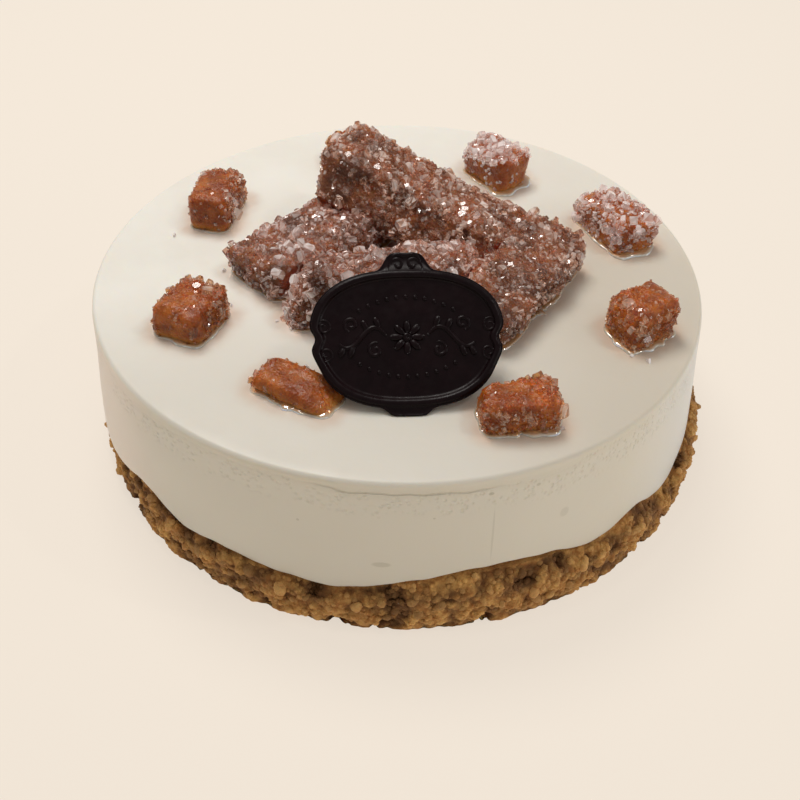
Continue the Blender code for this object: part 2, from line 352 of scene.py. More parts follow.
# Jellies
jellyPlan = {
    "voxel": 0.55 * mm,
    "sink": 1.1 * mm,
    "lowest": creamTop - 0.4 * mm,
    # lumps and softening of the bars and of the small pieces
    "bar": {"lumpSize": 9.0 * mm, "lumpHeight": 2.1 * mm, "smoothSteps": 14, "shrink": 0.5 * mm},
    "piece": {"lumpSize": 8.5 * mm, "lumpHeight": 1.3 * mm, "smoothSteps": 6, "shrink": -0.15 * mm},
    # rays that tell how open a point lies: how many, where they start and end, and the least facing
    "open": {"rays": 40, "lift": 0.7 * mm, "reach": 11.0 * mm, "facing": 0.15},
    # how pale the sugar is, against plain sugar on the heap
    "pale": {
        "jelly_bar_top": 0.78, "jelly_bar_left": 1.04, "jelly_bar_front": 1.0, "jelly_bar_right": 0.80,
        "jelly_piece_6": 1.2, "jelly_piece_7": 1.28, "jelly_piece_1": 0.6,
    },
    "paleElse": 0.25,
    # coarse and fine sugar all over, then patches: towards x, y, z, how much more of each, and reach
    "sugar": {
        "jelly_bar_top": (0.8, 0.9, [(-1, -0.5, 0.2, -0.5, -0.4, 0.62), (-0.2, -1, -0.6, -0.4, -0.3, 0.5)]),
        "jelly_bar_left": (0.8, 0.9, [(-0.6, -0.8, 0.3, -0.4, -0.3, 0.75)]),
        "jelly_bar_front": (1.0, 0.9, []),
        "jelly_bar_right": (0.6, 1.0, [(0.2, -1, -0.4, -0.4, -0.2, 0.3)]),
        "jelly_piece_1": (0.04, 0.30, [(1, 0, 0.1, 0.5, 0.9, 0.55), (0.3, 1, 0.3, 0.4, 0.6, 0.75)]),
        "jelly_piece_2": (0.05, 0.30, [(1, 0.2, 0, 0.3, 0.95, 0.35), (0.1, 0.6, 0.7, 0.7, 0.3, 0.75)]),
        "jelly_piece_3": (0.0, 0.10, [(-1, 0.2, 0.2, 0.7, 0.5, 1.0), (1, 0, 0.2, 0.05, 0.3, 0.3)]),
        "jelly_piece_4": (0.06, 0.40, [(1, 0.6, 0.7, 0.9, 0.8, 0.75), (0, -1, 0, 0.3, 0.5, 0.3)]),
        "jelly_piece_5": (0.04, 0.35, [(-1, -0.2, 0, 0.3, 0.9, 0.25), (0.6, -1, -0.2, 0.9, 0.6, 0.6)]),
        "jelly_piece_6": (0.85, 0.7, [(0, -0.6, -1, -0.5, -0.2, 0.5)]),
        "jelly_piece_7": (0.05, 0.20, [(-0.2, 0.4, 1, 1.0, 0.8, 0.30)]),
        "jelly_piece_8": (0.3, 0.5, [(0, 0, 1, 0.5, 0.4, 0.3)]),
    },
    "patchBlend": 0.35,
}

# How the jellies give where they meet
meetPlan = {
    "topSag": 5.0 * mm,
    "topSpill": 5.0 * mm,
    "topSlope": 0.25,
    "topLift": 1.0 * mm,
    "topBlend": 4.0 * mm,
    "topReach": 1.6 * mm,
    "topEnd": (17.0 * mm, 8.0 * mm),
    "frontReach": 3.0 * mm,
    "frontLeftShare": 0.6,
    "frontEnd": (8.0 * mm, 12.0 * mm),
    "leftTurn": math.radians(44),
    "leftRise": 2.4 * mm,
    "leftEnd": (-16.0 * mm, 24.0 * mm),
    "leftHeight": 10.0 * mm,
    "rightEnd": (-12.0 * mm, 16.0 * mm),
    "rightShift": (-1.2 * mm, 0.6 * mm, 0.8 * mm),
    "thirdShift": (1.5 * mm, -0.2 * mm, 0.0),
}


def jellyFinish():
    look = Finish(
        "amberJelly", Roughness=0.30, IOR=1.38, Coat_Weight=0.10, Coat_Roughness=0.05,
        Subsurface_Weight=0.7, Subsurface_Radius=(1.0, 0.30, 0.08), Subsurface_Scale=3.4 * mm,
    )
    cloud = look.spread(look.noise(140), 0.36, 0.64)
    depth = look.noise(430, 4.0, 0.6)
    amber = look.mix(cloud, (0.27, 0.056, 0.007), (0.45, 0.125, 0.013))
    amber = look.mix(look.spread(depth, 0.46, 0.70, 0.0, 0.5), amber, (0.17, 0.034, 0.008))
    inHeap = look.attribute("heap")
    heap = look.mix(cloud, (0.105, 0.034, 0.014), (0.28, 0.098, 0.036))
    amber = look.mix(inHeap, amber, heap)
    # Painted glow: deep in the gaps between jellies the colour turns a deep red, standing in for shaded
    # jelly lit through from outside
    gap = look.spread(look.attribute("open"), 0.3, 0.85, 0.85, 0.0)
    amber = look.mix(gap, amber, (0.34, 0.046, 0.018))
    # Painted glow: the small pieces turn a lighter orange near their feet, standing in for light shining
    # through their thin lower edges
    low = look.spread(look.heights()[2], creamTop, creamTop + 3.2 * mm, 0.6, 0.0)
    amber = look.mix(look.times(low, look.sum("SUBTRACT", 1.0, inHeap)), amber, (0.72, 0.30, 0.055))
    grain = look.bump(look.cells(1300), 0.22 * mm)
    grain = look.bump(look.noise(900, 4.0, 0.6), 0.35 * mm, grain)
    grain = look.bump(look.noise(260, 3.0, 0.5), 0.8 * mm, grain)
    return look.use(Base_Color=amber, Normal=grain)


# Sets the surface in and out along its normal with a soft noise
def lumpTree():
    tree = Tree("jellyLumps", {
        "Lump Size": "Float", "Lump Height": "Float", "Shrink": "Float",
        "Shift": "Vector", "Material": "Material",
    })
    place = tree.vector("ADD", tree.add("GeometryNodeInputPosition").outputs[0], _1=tree.given("Shift"))
    often = tree.sum("DIVIDE", 1.0, tree.given("Lump Size"))
    noise = tree.noiseAt(place, often, 2.0)
    height = tree.times(tree.sum("SUBTRACT", noise, 0.5), tree.given("Lump Height"), 2.0)
    tree.finish(tree.pushed(tree.given("Geometry"), tree.sum("SUBTRACT", height, tree.given("Shrink"))))
    return tree


# How much sugar lies at each point of a jelly: all over, plus its patches
def sugarShares(plan, points):
    coarse, fine, patches = plan
    low = points.min(0)
    high = points.max(0)
    spot = (points - 0.5 * (low + high)) / (0.5 * (high - low))
    coarseShare = np.full(len(points), coarse)
    fineShare = np.full(len(points), fine)
    for x, y, z, moreCoarse, moreFine, reach in patches:
        towards = np.array((x, y, z)) / math.sqrt(x * x + y * y + z * z)
        near = ease((spot @ towards - reach) / jellyPlan["patchBlend"] + 0.5)
        coarseShare += moreCoarse * near
        fineShare += moreFine * near
    return np.clip(coarseShare, 0.0, 1.0), np.clip(fineShare, 0.0, 1.0)


# How far a value is past the start of a blend, from zero to one
def past(value, start, span):
    return ease((value - start) / span)


def meet(node, points):
    plan = meetPlan
    middle = 0.5 * (points.min(0) + points.max(0))
    out = points - middle
    if node == "jelly_bar_top":  # its underside sags onto the bars below it
        lower = ease((plan["topLift"] - out[:, 2] - plan["topSlope"] * out[:, 0]) / plan["topBlend"])
        points[:, 2] -= plan["topSag"] * lower
        points[:, 1] -= plan["topSpill"] * lower
        points[:, 0] += plan["topReach"] * past(out[:, 0], *plan["topEnd"])
    if node == "jelly_piece_3":  # its right end lies under the plaque
        points += np.array(plan["thirdShift"])
    if node == "jelly_bar_front":  # both its ends run out against the bars beside it
        points[:, 0] += plan["frontReach"] * past(out[:, 0], *plan["frontEnd"])
        points[:, 0] -= plan["frontReach"] * plan["frontLeftShare"] * past(-out[:, 0], *plan["frontEnd"])
    if node == "jelly_bar_left":  # its far end rests a little higher
        along = points[:, 0] * math.cos(plan["leftTurn"]) + points[:, 1] * math.sin(plan["leftTurn"])
        up = np.clip((points[:, 2] - creamTop) / plan["leftHeight"], 0.0, 1.0)
        points[:, 2] += plan["leftRise"] * past(along, *plan["leftEnd"]) * up
    if node == "jelly_bar_right":  # its far left corner lies up against the top bar's end
        points += past(points[:, 1], *plan["rightEnd"])[:, None] * np.array(plan["rightShift"])


def makeJelly(node, tree, finish):
    shapePlan = jellyPlan["bar" if "bar" in node else "piece"]
    shape = bmesh.new()
    shape.from_mesh(cadNodes[node].data)
    bmesh.ops.remove_doubles(shape, verts=shape.verts, dist=0.001 * mm)
    block = addObject(node + "_block", meshOf(node, shape))
    remesh = block.modifiers.new("voxels", "REMESH")
    remesh.mode = "VOXEL"
    remesh.voxel_size = jellyPlan["voxel"]
    smooth = block.modifiers.new("soften", "SMOOTH")
    smooth.factor = 0.5
    smooth.iterations = shapePlan["smoothSteps"]
    block = addObject(node + "_lumps", settled(block, node + "_soft"))
    number = sorted(jellyPlan["sugar"]).index(node)
    tree.fit(block, {
        "Lump Size": shapePlan["lumpSize"], "Lump Height": shapePlan["lumpHeight"],
        "Shrink": shapePlan["shrink"], "Shift": (0.1 * number, 0.0, 0.0), "Material": finish,
    })
    mesh = settled(block, node.replace("jelly_", "jelly_soft_"))
    mesh.shade_smooth()
    mesh.transform(Matrix.Translation((0.0, 0.0, -jellyPlan["sink"])))
    points = pointsOf(mesh)
    meet(node, points)
    setPoints(mesh, points, jellyPlan["lowest"])
    setFloats(mesh, "heap", np.full(len(points), 1.0 if "bar" in node else 0.0))
    return addObject(mesh.name, mesh)


# How open each point lies to the air between the jellies: 1 clear of them, 0 deep in a gap
def openShares(mesh, tree):
    plan = jellyPlan["open"]
    steps = np.arange(plan["rays"]) + 0.5
    heights = 1.0 - 2.0 * steps / plan["rays"]
    turns = math.pi * (1.0 + math.sqrt(5.0)) * steps
    flat = np.sqrt(1.0 - heights ** 2)
    ways = [Vector(way) for way in np.column_stack((flat * np.cos(turns), flat * np.sin(turns), heights))]
    shares = []
    for vert in mesh.vertices:
        start = vert.co + vert.normal * plan["lift"]
        tried = clear = 0.0
        for way in ways:
            facing = way.dot(vert.normal)
            if facing > plan["facing"]:
                tried += facing
                if tree.ray_cast(start, way, plan["reach"])[0] is None:
                    clear += facing
        shares.append(clear / tried)
    return np.array(shares)


def jellyCopy(name):
    return joinedMesh(name, [jelly.data for jelly in jellies.values()])


def strewShares():
    joined = jellyCopy("heapCopy")
    faces = [face.vertices for face in joined.polygons]
    tree = BVHTree.FromPolygons([vert.co for vert in joined.vertices], faces)
    bpy.data.meshes.remove(joined)
    for node, jelly in jellies.items():
        points = pointsOf(jelly.data)
        coarse, fine = sugarShares(jellyPlan["sugar"][node], points)
        isOpen = openShares(jelly.data, tree) if "bar" in node else np.ones(len(points))
        left = 0.2 + 0.8 * past(isOpen, 0.25, 0.5)
        pale = np.full(len(points), jellyPlan["pale"].get(node, jellyPlan["paleElse"]))
        values = {"open": isOpen, "pale": pale, "coarse": coarse * left, "fine": fine * left}
        for name, value in values.items():
            setFloats(jelly.data, name, value)


jellyLook = jellyFinish()
lumps = lumpTree()
jellies = {node: makeJelly(node, lumps, jellyLook) for node in jellyPlan["sugar"]}
strewShares()
for node, jelly in jellies.items():
    ride(jelly, "jelly", node)
print("jellies shaped:", sum(len(jelly.data.polygons) for jelly in jellies.values()), "faces")


# Sugar
sugarPlan = {
    "coarse": {
        "spacing": 2.4 * mm, "low": 1.6 * mm, "high": 2.5 * mm, "sink": -0.25 * mm,
        "seed": 3, "forms": 6, "cuts": 8, "share": "coarse", "milky": 0.8,
    },
    "medium": {
        "spacing": 1.15 * mm, "low": 0.9 * mm, "high": 1.5 * mm, "sink": 0.05 * mm,
        "seed": 7, "forms": 6, "cuts": 3, "share": "coarse", "milky": 0.68,
    },
    "fine": {
        "spacing": 0.72 * mm, "low": 0.5 * mm, "high": 0.95 * mm, "sink": 0.02 * mm,
        "seed": 11, "forms": 6, "cuts": 0, "share": "fine", "milky": 0.55,
    },
}


# One boxy crystal about a unit across, with knocked-off corners
def crystalMesh(name, seed, cuts):
    random = np.random.default_rng(seed)
    sizes = ((1.0, 0.35), (0.85, 0.2), (0.62, 0.25))
    size = np.array([least + more * random.random() for least, more in sizes])
    points = []
    for corner in range(8):
        signs = np.array([1.0 if corner >> axis & 1 else -1.0 for axis in range(3)])
        if corner < cuts:
            for axis in range(3):
                cut = signs.copy()
                cut[axis] *= 1.0 - 0.5 * random.random() - 0.15
                points.append(0.5 * size * cut)
        else:
            points.append(0.5 * size * signs * (1.0 - 0.12 * random.random(3)))
    shape = bmesh.new()
    for point in points:
        shape.verts.new(point)
    hull = bmesh.ops.convex_hull(shape, input=shape.verts)
    inside = set(hull["geom_interior"] + hull["geom_unused"])
    loose = [item for item in inside if isinstance(item, bmesh.types.BMVert)]
    bmesh.ops.delete(shape, geom=loose, context="VERTS")
    bmesh.ops.recalc_face_normals(shape, faces=shape.faces)
    mesh = meshOf(name, shape)
    # A random value on each facet, which the sugar finish uses for milky sugar and painted glints
    glow = mesh.attributes.new("facet", "FLOAT", "FACE")
    glow.data.foreach_set("value", random.random(len(mesh.polygons)).astype(np.float32))
    return mesh


def formsCollection(name, meshes):
    box = bpy.data.collections.new(name)
    for number, mesh in enumerate(meshes):
        box.objects.link(bpy.data.objects.new("%s_%d" % (name, number), mesh))
    return box


# Strews forms over a surface: spacing and share set how many, each turned, sized and sunk at random
def strewTree(name, share, tilt):
    tree = Tree(name, {
        "Spacing": "Float", "Smallest": "Float", "Largest": "Float", "Sink": "Float",
        "Seed": "Int", "Forms": "Collection", "Material": "Material",
    })
    many = tree.sum("DIVIDE", 0.95, tree.given("Spacing"))
    spots = tree.add(
        "GeometryNodeDistributePointsOnFaces", {"distribute_method": "POISSON"},
        Mesh=tree.given("Geometry"), Distance_Min=tree.given("Spacing"), Density_Max=tree.times(many, many),
        Density_Factor=tree.named(share), Seed=tree.given("Seed"),
    ).outputs
    down = tree.times(tree.given("Sink"), -1.0)
    sunk = tree.moved(spots["Points"], tree.vector("SCALE", spots["Normal"], Scale=down))
    lean = tree.random("FLOAT_VECTOR", _0=(-tilt, -tilt, -math.pi), _1=(tilt, tilt, math.pi))
    turn = tree.add("FunctionNodeEulerToRotation", Euler=lean).outputs[0]
    facing = tree.add(
        "FunctionNodeRotateRotation", {"rotation_space": "LOCAL"}, _0=spots["Rotation"], _1=turn
    ).outputs[0]
    size = tree.random("FLOAT", _2=tree.given("Smallest"), _3=tree.given("Largest"))
    stretch = tree.random("FLOAT_VECTOR", _0=(0.8, 0.8, 0.8), _1=(1.2, 1.2, 1.2))
    forms = tree.add(
        "GeometryNodeCollectionInfo",
        Collection=tree.given("Forms"), Separate_Children=True, Reset_Children=True,
    ).outputs[0]
    placed = tree.add(
        "GeometryNodeInstanceOnPoints", Points=sunk, Instance=forms, Pick_Instance=True,
        Rotation=facing, Scale=tree.vector("SCALE", stretch, Scale=size),
    ).outputs[0]
    toned = tree.add(
        "GeometryNodeStoreNamedAttribute", {"data_type": "FLOAT", "domain": "INSTANCE"},
        Geometry=placed, Name="tone", Value=tree.random("FLOAT"),
    ).outputs[0]
    tree.finish(tree.add("GeometryNodeRealizeInstances", Geometry=toned).outputs[0])
    return tree


# A plan's crystals, of unlike shapes
def crystals(name, firstSeed, plan):
    return [crystalMesh(name, firstSeed + number, plan["cuts"]) for number in range(plan["forms"])]


# Forms strewn over a mesh, which goes, as the share on it says
def strewn(name, over, share, tilt, plan, forms, finish):
    host = addObject(name + "_host", over)
    strewTree(name + "_strew", share, tilt).fit(host, {
        "Spacing": plan["spacing"], "Smallest": plan["low"], "Largest": plan["high"], "Sink": plan["sink"],
        "Seed": plan["seed"], "Forms": forms, "Material": finish,
    })
    mesh = settled(host, name)
    print(name, len(mesh.polygons), "faces")
    return addObject(name, mesh)


# Glassy crystals: each facet shows the jelly through it or is amber itself; lighter facets are partly milky
# sugar and partly painted glints
def sugarFinish(name, milky):
    look = Finish(name, Roughness=0.09, IOR=1.52, Coat_Weight=0.4, Coat_Roughness=0.05)
    pale = look.attribute("pale")
    tone = look.times(look.attribute("tone"), 0.55)
    # Lighter colour: random per crystal for milky sugar, and random per facet for painted glints
    milkAndGlint = look.sum("ADD", tone, look.times(look.attribute("facet"), 0.45))
    extra = look.sum("MAXIMUM", look.sum("SUBTRACT", pale, 1.0), 0.0)
    milkAndGlint = look.sum("ADD", milkAndGlint, extra)
    colour = look.mix(look.spread(milkAndGlint, 0.42, 0.90), (0.66, 0.39, 0.29), (0.98, 0.90, 0.88))
    # Painted shade: sugar deep in the gaps between jellies is darkened to a deep red
    hidden = look.spread(look.attribute("open"), 0.3, 0.85, 0.8, 0.0)
    colour = look.mix(hidden, colour, (0.42, 0.115, 0.065))
    amber = look.mix(look.spread(milkAndGlint, 0.5, 0.9), (0.72, 0.37, 0.13), (0.92, 0.76, 0.62))
    onPiece = look.sum("SUBTRACT", 1.0, pale)
    colour = look.mix(look.times(onPiece, 1.15), colour, amber)
    patch = look.spread(look.noise(110), 0.38, 0.60, 0.30, 1.0)
    patch = look.sum("MAXIMUM", patch, look.times(extra, 1.5))
    dull = look.spread(pale, 0.0, 1.0, 0.40, 1.0, "LINEAR")
    cloudy = look.times(look.spread(milkAndGlint, 0.25, 0.75), patch, dull, milky)
    return look.use(Base_Color=colour, Transmission_Weight=look.sum("SUBTRACT", 1.0, cloudy))


def makeSugar(kind, finish):
    plan = sugarPlan[kind]
    name = "sugar_" + kind
    forms = formsCollection(kind + "Crystals", crystals(kind + "Crystal", 20 * plan["seed"], plan))
    sugar = strewn(name, jellyCopy(name + "_host"), plan["share"], math.pi, plan, forms, finish)
    sugar.visible_shadow = False
    return sugar


sugarLooks = {}
for kind, plan in sugarPlan.items():
    sugarLooks[kind] = sugarFinish(kind + "Sugar", plan["milky"])
    ride(makeSugar(kind, sugarLooks[kind]), "jelly")
print("sugar strewn")


# Cream
creamPlan = {
    "top": creamTop,
    "radius": 79.9 * mm,
    "middle": (-0.6 * mm, 0.0),
    "flare": 0.073,
    "rimRound": 1.1 * mm,
    "threeLobe": 0.5 * mm,
    "threeLobeTurn": math.radians(140),
    "around": 600,
    "topRings": 34,
    "wallRings": 54,
    "rimRings": 6,
    "footRings": 3,
    "footRound": 0.5 * mm,
    # degrees from +X and millimetres: where the cream's lower edge runs
    "lowerEdge": [
        (-172, 12.4), (-155, 10.2), (-148, 12.8), (-140, 16.4), (-135, 14.4), (-127, 10.9), (-122, 13.4),
        (-115, 12.2), (-106, 10.8), (-98, 10.5), (-90, 13.2), (-80, 16.2), (-67, 16.8), (-61, 14.6),
        (-55, 11.6), (-46, 14.6), (-42, 14.6), (-35, 9.2), (-29, 11.8), (-8, 13.8), (14, 11.3), (36, 13.9),
        (55, 11.6), (78, 14.3), (101, 11.5), (124, 13.6), (146, 11.0), (167, 13.9),
    ],
    "edgeSpread": (-4.5, -3.0, -1.5, 0.0, 1.5, 3.0, 4.5),
    "underTop": 12.5 * mm,
    "underShares": (0.97, 0.93, 0.85, 0.7, 0.4),
    # middle and half width each way of the painted red shade under the heap
    "heapX": (-4.0 * mm, 20.0 * mm),
    "heapY": (1.0 * mm, 15.0 * mm),
}


# Height of the cream's lower edge at some angles, eased between its stops
def lowerEdge(angles):
    ripple = 0.16 * np.sin(23 * angles + 0.7) + 0.11 * np.sin(41 * angles + 2.0) + 0.07 * np.sin(73 * angles)
    spread = np.radians(creamPlan["edgeSpread"])
    return sum(edgeStops(angles + turn) for turn in spread) / len(spread) + ripple * mm


def edgeStops(angles):
    given = creamPlan["lowerEdge"]
    stops = np.array(given + [(given[0][0] + 360, given[0][1])])
    degrees = (np.degrees(angles) - stops[0, 0]) % 360 + stops[0, 0]
    index = np.clip(np.searchsorted(stops[:, 0], degrees, side="right") - 1, 0, len(stops) - 2)
    along = (degrees - stops[index, 0]) / (stops[index + 1, 0] - stops[index, 0])
    return (stops[index, 1] + (stops[index + 1, 1] - stops[index, 1]) * ease(along)) * mm


def wallRadius(angles, heights):
    plan = creamPlan
    lobes = plan["threeLobe"] * np.cos(3 * angles + plan["threeLobeTurn"])
    return plan["radius"] + lobes + plan["flare"] * (plan["top"] - heights)


# Joins rings of points, from a first middle point to a last one, into a closed skin
def turnedSkin(name, rings, first, last):
    around = len(rings[0])
    points = np.vstack([[first]] + rings + [[last]])
    end = len(points) - 1
    faces = []
    after = [(index + 1) % around for index in range(around)]
    for index in range(around):
        faces.append((0, 1 + index, 1 + after[index]))
        faces.append((end, end - around + after[index], end - around + index))
    for base in range(1, end - around, around):
        for index in range(around):
            below = base + around
            faces.append((base + index, below + index, below + after[index], base + after[index]))
    return meshFrom(name, points, faces)


# Ring of points about a middle
def ringAt(middle, angles, radius, height):
    x = middle[0] + radius * np.cos(angles)
    y = middle[1] + radius * np.sin(angles)
    return np.column_stack((x, y, np.broadcast_to(height, angles.shape)))


def creamRing(angles, radius, height):
    return ringAt(creamPlan["middle"], angles, radius, height)


# Height of soft waves in the poured top
def topWaves(x, y):
    wave = np.sin(61 * x + 1.0) * np.cos(53 * y + 0.4) + 0.6 * np.sin(131 * x - 97 * y)
    return 0.07 * mm * wave


# Height of the cream's underside, at a share of the way out to its edge
def underHeight(edge, share):
    top = creamPlan["underTop"]
    return top + (edge - top) * ease((share - 0.55) / 0.45)


def creamMesh():
    plan = creamPlan
    angles = evenAngles(plan["around"])
    rings = []
    for step in range(1, plan["topRings"] + 1):
        share = step / plan["topRings"]
        radius = share * (wallRadius(angles, plan["top"]) - plan["rimRound"])
        ring = creamRing(angles, radius, plan["top"])
        ring[:, 2] += topWaves(ring[:, 0], ring[:, 1]) * (1.0 - ease((share - 0.8) / 0.2))
        rings.append(ring)
    for step in range(1, plan["rimRings"] + 1):
        turn = 0.5 * math.pi * step / plan["rimRings"]
        height = plan["top"] - plan["rimRound"] * (1 - math.cos(turn))
        radius = wallRadius(angles, height) - plan["rimRound"] * (1 - math.sin(turn))
        rings.append(creamRing(angles, radius, height))
    edge = lowerEdge(angles)
    upper = plan["top"] - plan["rimRound"]
    for step in range(1, plan["wallRings"] + 1):
        share = step / plan["wallRings"]
        height = upper + share * (edge + plan["footRound"] - upper)
        swell = 0.12 * mm * np.sin(7 * angles + 150 * height) + 0.08 * mm * np.sin(17 * angles - 90 * height)
        radius = wallRadius(angles, height) + swell * math.sin(math.pi * share)
        rings.append(creamRing(angles, radius, height))
    for step in range(1, plan["footRings"] + 1):
        turn = 0.5 * math.pi * step / plan["footRings"]
        radius = wallRadius(angles, edge) - plan["footRound"] * (1 - math.cos(turn))
        rings.append(creamRing(angles, radius, edge + plan["footRound"] * (1 - math.sin(turn))))
    for share in plan["underShares"]:
        rings.append(creamRing(angles, share * wallRadius(angles, edge), underHeight(edge, share)))
    middle = plan["middle"]
    return turnedSkin("cream", rings, (*middle, plan["top"]), (*middle, plan["underTop"]))


# Stain and painted shade on the cream around the jellies: how far under its top, how high a jelly's foot is,
# and how far it runs
stainAndShadePlan = {"under": 1.5 * mm, "foot": 2.0 * mm, "everyFoot": 6, "near": 45 * mm, "reach": 7.5 * mm}


# One at a jelly's foot, falling to none a few millimetres out: jelly colour soaked into the cream, and
# painted shade
def stainAndShadeShares(points):
    plan = stainAndShadePlan
    stain = np.zeros(len(points))
    onTop = points[:, 2] > creamTop - plan["under"]
    for jelly in jellies.values():
        feet = pointsOf(jelly.data)
        feet = feet[feet[:, 2] < creamTop + plan["foot"]][::plan["everyFoot"], :2]
        if not len(feet):
            continue
        near = onTop & (np.abs(points[:, :2] - feet.mean(0)).max(1) < plan["near"])
        away = np.full(len(points), 1.0)
        spots = points[near][:, None, :2] - feet[None]
        away[near] = np.sqrt((spots ** 2).sum(2)).min(1)
        stain = np.maximum(stain, 1.0 - ease(away / plan["reach"]))
    return stain


# The seam under the front rim
seamPlan = {"below": 2.7 * mm, "half": 0.45 * mm, "middle": 1.5 * mm, "reach": (14 * mm, 24 * mm)}
# Small marks on the front wall: middle x and z, half width and height, and strength
creamMarks = [
    (-3.7 * mm, 19.4 * mm, 2.5 * mm, 0.9 * mm, 0.32),
    (21.4 * mm, 27.0 * mm, 0.28 * mm, 9.0 * mm, 0.22),
    (38.2 * mm, 27.5 * mm, 1.2 * mm, 1.6 * mm, 0.20),
    (20.4 * mm, 39.4 * mm, 0.7 * mm, 0.5 * mm, 0.50),
    (31.0 * mm, 39.0 * mm, 0.6 * mm, 0.5 * mm, 0.40),
    (-22.5 * mm, 30.0 * mm, 0.4 * mm, 0.4 * mm, 0.35),
    (8.0 * mm, 34.0 * mm, 0.35 * mm, 0.3 * mm, 0.35),
]


def creamFinish():
    look = Finish(
        "setCream", Roughness=0.42, IOR=1.42, Coat_Weight=0.05, Coat_Roughness=0.15,
        Subsurface_Weight=0.35, Subsurface_Radius=(1.0, 0.75, 0.5), Subsurface_Scale=4.0 * mm,
    )
    x, y, z = look.heights()
    below = look.sum("SUBTRACT", creamPlan["top"], z)
    onTop = look.spread(below, 0.15 * mm, 1.0 * mm, 1.0, 0.0)
    wall = look.spread(below, 0.15 * mm, 1.0 * mm)
    cloud = look.spread(look.noise(28, 4.0, 0.6), 0.35, 0.7)
    drift = look.spread(look.noise(12, 2.0), 0.45, 0.8, 0.0, 0.2)
    # Painted shade: the top darkens towards the front, and towards the right
    front = look.times(look.spread(y, -62 * mm, -8 * mm, 1.0, 0.0), onTop)
    right = look.times(look.spread(x, 12 * mm, 52 * mm), look.spread(y, 0.0, 45 * mm, 0.9, 0.25), onTop)
    spread = look.spread(look.noise(120, 2.0), 0.2, 0.7, 0.5, 1.0)
    # Stain and painted shade: the cream around the jellies' feet turns reddish brown, partly jelly colour
    # soaked in and partly painted shade
    stain = look.spread(look.times(look.attribute("stain"), spread), 0.05, 1.0, 0.0, 0.7)
    # Painted red shade under the heap: how far a point lies out from its middle
    out = look.sum("ADD", look.away(x, *creamPlan["heapX"]), look.away(y, *creamPlan["heapY"]))
    wobble = look.spread(look.noise(60, 2.0), 0.3, 0.7, -0.9 * mm, 0.9 * mm)
    band = look.sum("ADD", below, wobble)
    start = look.spread(band, 0.8 * mm, 1.6 * mm)
    stop = look.spread(band, 3.4 * mm, 4.8 * mm, 1.0, 0.0)
    patch = look.spread(look.noise(150), 0.34, 0.56)
    zone = look.times(
        look.spread(band, 1.6 * mm, 3.2 * mm), look.spread(band, 8.0 * mm, 10.5 * mm, 1.0, 0.0), patch
    )
    pits = look.times(look.spread(look.cells(820), 0.10, 0.55, 1.0, 0.0), zone)
    seam = look.spread(look.apart(band, seamPlan["below"]), 0.0, seamPlan["half"], 1.0, 0.0)
    length = look.spread(look.apart(x, seamPlan["middle"]), *seamPlan["reach"], 1.0, 0.12)
    seam = look.times(seam, length, look.spread(y, -30 * mm, 0.0, 1.0, 0.0))
    marks = None
    for middleX, middleZ, halfX, halfZ, strength in creamMarks:
        away = look.sum("ADD", look.away(x, middleX, halfX), look.away(z, middleZ, halfZ))
        mark = look.spread(away, 0.35, 1.1, strength, 0.0)
        marks = mark if marks is None else look.sum("MAXIMUM", marks, mark)
    cream = look.mix(cloud, (0.84, 0.805, 0.73), (0.87, 0.845, 0.775))
    coats = [
        (drift, (0.80, 0.745, 0.68)),
        # painted shade towards the front of the top
        (front, (0.695, 0.655, 0.575)),
        # painted shade towards the right of the top
        (right, (0.62, 0.56, 0.465)),
        # stain and painted shade around the jellies' feet
        (stain, (0.60, 0.43, 0.32)),
        # painted red shade under the heap
        (look.spread(out, 0.5, 1.0, 0.85, 0.0), (0.34, 0.075, 0.03)),
        (look.times(start, stop, 0.55), (0.66, 0.62, 0.50)),
        # painted shade: the wall darker than the top
        (look.times(wall, 0.8), (0.755, 0.700, 0.580)),
        # painted light: the wall lighter and greyer towards the right
        (look.times(wall, look.spread(x, 52 * mm, 76 * mm, 0.0, 0.85)), (0.78, 0.78, 0.755)),
        # painted light: the wall lighter and warmer towards the left
        (look.times(wall, look.spread(x, -76 * mm, -52 * mm, 0.85, 0.0)), (0.93, 0.80, 0.69)),
        # painted shade in the bubble pits
        (look.times(pits, 0.12), (0.60, 0.55, 0.42)),
        (look.times(seam, 0.45), (0.50, 0.45, 0.34)),
        (look.times(marks, look.spread(y, -50 * mm, -30 * mm, 1.0, 0.0)), (0.40, 0.36, 0.25)),
    ]
    for share, coat in coats:
        cream = look.mix(share, cream, coat)
    normal = look.bump(look.sum("SUBTRACT", look.times(pits, -1.0), seam), 0.18 * mm)
    normal = look.bump(look.noise(700, 3.0, 0.6), 0.03 * mm, normal)
    normal = look.bump(look.noise(90, 2.0, 0.4), 0.16 * mm, normal)
    rough = look.spread(look.noise(40), 0.3, 0.7, 0.36, 0.50)
    return look.use(Base_Color=cream, Normal=normal, Roughness=rough)


def makeCream():
    mesh = creamMesh()
    setFloats(mesh, "stain", stainAndShadeShares(pointsOf(mesh)))
    return addObject("cream", mesh, creamFinish())


creamPiece = makeCream()
ride(creamPiece, "cream", "cream_layer")
print("cream poured")


# A few sugar grains that fell beside the jellies
looseSugar = {
    "spacing": 1.6 * mm, "low": 0.5 * mm, "high": 1.1 * mm, "sink": -0.12 * mm,
    "seed": 21, "forms": 4, "cuts": 3, "share": 0.05, "pale": 1.6, "within": 0.5 * mm,
}


